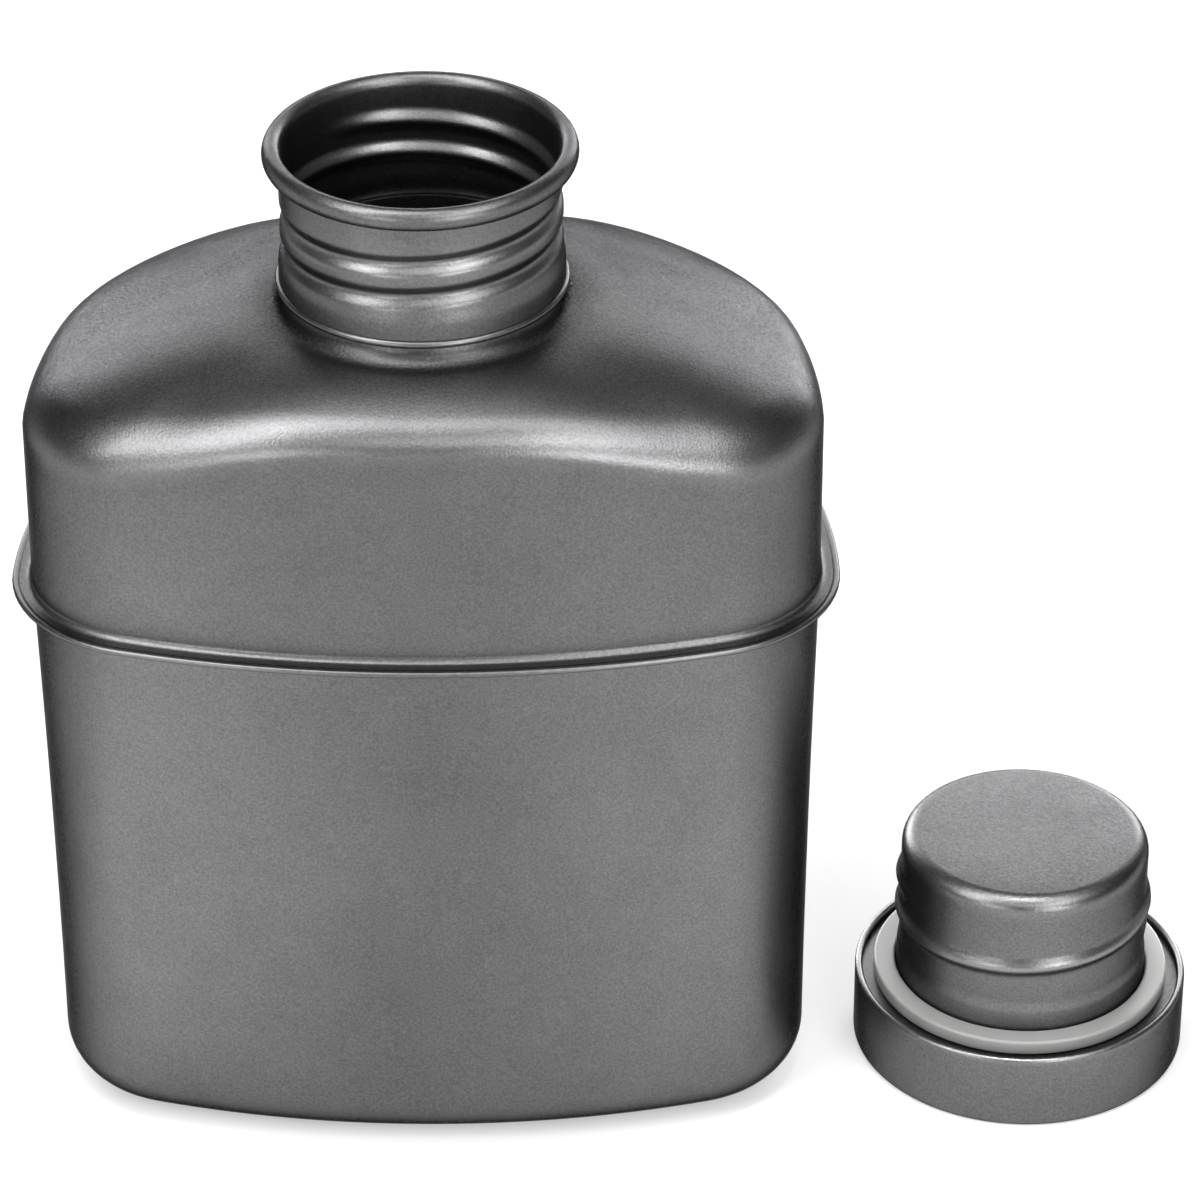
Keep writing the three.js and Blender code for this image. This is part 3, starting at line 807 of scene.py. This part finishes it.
class CANTEEN_OT_cap_plug(bpy.types.Operator):
    """Turns the cap's plug with its flange and rolls the thread ridge out of it"""
    bl_idname = "canteen.cap_plug"
    bl_label = "Cap plug"

    def execute(self, context):
        sizes, sheet = context.scene.canteen_cap, context.scene.canteen_body.sheet
        neck = context.scene.canteen_neck
        flange_top = sizes.cover_height - sizes.hem_depth
        flange_radius = sizes.cover_radius - sheet - neck.fit_gap
        foot_radius = sizes.plug_radius + sizes.foot_swell
        foot = (foot_radius + sizes.flange_fillet, flange_top + sizes.flange_fillet)
        end = (sizes.plug_radius - sizes.plug_fillet, sizes.plug_height - sizes.plug_fillet)
        wall = [(foot_radius, z) for z in levels(foot[1], sizes.foot_top, 6)[1:]]
        wall += [(sizes.plug_radius + sizes.foot_swell * (1 + math.cos(math.pi * share)) / 2,
                  sizes.foot_top + sizes.foot_blend * share) for share in levels(0, 1, 6)[1:]]
        wall += [(sizes.plug_radius, z)
                 for z in levels(sizes.foot_top + sizes.foot_blend, end[1], 34)[1:-1]]

        def skin(depth):
            """The plug's profile from flange to end, this far inside its outer face."""
            return ([tuple(p) for p in arc(*foot, sizes.flange_fillet + depth, -QUARTER, -math.pi, 4)]
                    + [(radius - depth, z) for radius, z in wall]
                    + [tuple(p) for p in arc(*end, sizes.plug_fillet - depth, 0, QUARTER, 10)]
                    + [(end[0] * 0.5, sizes.plug_height - depth), (0, sizes.plug_height - depth)])

        profile = list(reversed(skin(sheet)))
        profile += [(flange_radius, flange_top - sheet), (flange_radius, flange_top)] + skin(0)
        piece = turned_for_cap("cap_thread_plug", profile)
        roll_thread(piece, (sizes.x, sizes.y), sizes.ridge_depth, sizes.ridge_start, sizes.ridge_angle,
                    sizes.ridge_turns, sizes.ridge_width, neck.pitch, neck.fade)
        keep_edges(piece, 50)
        hand_over(piece, "cap", ["cap_plug"], titanium())
        return {"FINISHED"}


class CANTEEN_OT_sealing_ring(bpy.types.Operator):
    """Lays the silicone ring round the foot of the plug"""
    bl_idname = "canteen.sealing_ring"
    bl_label = "Sealing ring"

    def execute(self, context):
        sizes = context.scene.canteen_cap
        fillet = sizes.ring_fillet
        near = sizes.plug_radius + sizes.foot_swell + sizes.ring_gap + fillet
        low = sizes.cover_height - sizes.hem_depth + sizes.ring_gap + fillet
        far = near + sizes.ring_width - fillet * 2
        high = low + sizes.ring_height - fillet * 2
        corners = ((far, low), (far, high), (near, high), (near, low))
        profile = [tuple(p) for i, corner in enumerate(corners)
                   for p in arc(*corner, fillet, (i - 1) * QUARTER, i * QUARTER, 5)]
        profile.append(profile[0])
        piece = turned_for_cap("cap_sealing_ring", profile)
        hand_over(piece, "sealing_ring", ["cap_gasket"],
                  finish_named("grey_silicone", silicone_finish))
        return {"FINISHED"}


# Studio

class CANTEEN_OT_studio(bpy.types.Operator):
    """Sets up the floor, the soft lamps and the camera"""
    bl_idname = "canteen.studio"
    bl_label = "Studio"

    def execute(self, context):
        studio = context.scene.canteen_studio
        bpy.ops.object.select_all(action="DESELECT")
        bpy.ops.mesh.primitive_plane_add(size=studio.floor, location=(0, 0, 0))
        floor = context.object
        floor.name = "studio_floor"
        floor.data.materials.append(self.floor_finish(studio))
        for name, power, share, direction, size in SOFT_BOXES:
            self.soft_box(name, getattr(studio, power) * share, direction, size)
        for name, share, place in FLOOR_LAMPS:
            self.floor_lamp(name, studio.floor_power * share, place)
        self.room(studio.dim)
        bpy.ops.object.camera_add(location=CAMERA_PLACE, rotation=(QUARTER - studio.tilt, 0, 0))
        camera = context.object
        camera.name = "photo_camera"
        camera.data.lens = studio.lens
        camera.data.sensor_width = SENSOR_WIDTH
        context.scene.camera = camera
        context.scene.view_settings.view_transform = "Standard"
        return {"FINISHED"}

    def soft_box(self, name, power, direction, size):
        """An area lamp that faces the middle of the object; azimuth 0 is the front."""
        azimuth, height = (math.radians(angle) for angle in direction)
        away = Vector((math.sin(azimuth) * math.cos(height), -math.cos(azimuth) * math.cos(height),
                       math.sin(height)))
        bpy.ops.object.light_add(type="AREA", location=Vector(SOFT_BOX_TARGET) + away * SOFT_BOX_DISTANCE,
                                 rotation=away.to_track_quat("Z", "Y").to_euler())
        lamp = bpy.context.object
        lamp.name = name
        lamp.data.shape = "RECTANGLE"
        lamp.data.size, lamp.data.size_y = size
        lamp.data.energy = power

    def floor_lamp(self, name, power, place):
        """A soft pool of light on the floor in front, which the walls mirror."""
        bpy.ops.object.light_add(type="SPOT", location=place)
        lamp = bpy.context.object
        lamp.name = name
        lamp.data.energy = power
        lamp.data.spot_size = FLOOR_LAMP_CONE
        lamp.data.spot_blend = 1.0
        lamp.data.shadow_soft_size = FLOOR_LAMP_RADIUS

    def floor_finish(self, studio):
        """Pale and matt, seen partly as plain white, the more so the further away."""
        material = bpy.data.materials.new("studio_floor")
        recipe = Recipe(material)
        light = recipe.node("ShaderNodeLightPath", output="Is Camera Ray")
        gloss = recipe.node("ShaderNodeLightPath", output="Is Glossy Ray")
        clear = recipe.node("ShaderNodeLightPath", output="Is Transmission Ray")
        seen = light + gloss + clear
        place = recipe.place()
        distance = (recipe.along(place, "X") ** 2 + recipe.along(place, "Y") ** 2) ** 0.5
        far = recipe.node("ShaderNodeMapRange", {"interpolation_type": "SMOOTHSTEP"},
                          {"Value": distance, "From Min": GLOW_NEAR, "From Max": GLOW_FAR,
                           "To Min": studio.floor_glow})
        matt = recipe.node("ShaderNodeBsdfDiffuse", None, {"Color": (*studio.floor_colour, 1)})
        white = recipe.node("ShaderNodeEmission", None, {"Color": grey(1), "Strength": 1.0})
        recipe.surface(recipe.node("ShaderNodeMixShader", None, {0: seen * far, 1: matt, 2: white}))
        return material

    def room(self, dim):
        """Bright at the horizon and dim above it."""
        world = bpy.data.worlds.new("studio")
        bpy.context.scene.world = world
        recipe = Recipe(world)
        direction = recipe.node("ShaderNodeTexCoord", output="Generated")
        height = recipe.node("ShaderNodeSeparateXYZ", None, {0: direction}, output="Z")
        level = recipe.node("ShaderNodeMapRange", None,
                            {"Value": height, "From Min": HORIZON_LOW, "From Max": HORIZON_HIGH,
                             "To Min": HORIZON_LEVEL, "To Max": dim})
        tone = recipe.node("ShaderNodeCombineColor", None, {0: level, 1: level, 2: level})
        light = recipe.node("ShaderNodeBackground", None, {"Color": tone, "Strength": 1.0})
        recipe.node("ShaderNodeOutputWorld", None, {"Surface": light})


STEPS = (
    CANTEEN_OT_lower_shell,
    CANTEEN_OT_upper_shell,
    CANTEEN_OT_welds,
    CANTEEN_OT_neck,
    CANTEEN_OT_cap_cover,
    CANTEEN_OT_cap_plug,
    CANTEEN_OT_sealing_ring,
    CANTEEN_OT_studio,
)

GROUPS = {
    "canteen_body": BodySizes,
    "canteen_neck": NeckSizes,
    "canteen_cap": CapSizes,
    "canteen_finish": FinishColours,
    "canteen_studio": StudioSizes,
}


class CANTEEN_PT_panel(bpy.types.Panel):
    """Lists the steps that build the canteen"""
    bl_idname = "CANTEEN_PT_panel"
    bl_label = "Canteen"
    bl_space_type = "VIEW_3D"
    bl_region_type = "UI"
    bl_category = "Canteen"

    def draw(self, context):
        for step in STEPS:
            self.layout.operator(step.bl_idname)
        for name, group in GROUPS.items():
            box = self.layout.box()
            box.label(text=group.__doc__)
            for key in group.__annotations__:
                box.prop(getattr(context.scene, name), key)


def register():
    for cls in (*GROUPS.values(), *STEPS, CANTEEN_PT_panel):
        bpy.utils.register_class(cls)
    for name, group in GROUPS.items():
        setattr(bpy.types.Scene, name, PointerProperty(type=group))


def unregister():
    for name in GROUPS:
        delattr(bpy.types.Scene, name)
    for cls in reversed((*GROUPS.values(), *STEPS, CANTEEN_PT_panel)):
        bpy.utils.unregister_class(cls)


def main():
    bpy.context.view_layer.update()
    register()
    for step in STEPS:
        group, name = step.bl_idname.split(".")
        getattr(getattr(bpy.ops, group), name)()


if __name__ == "__main__":
    main()
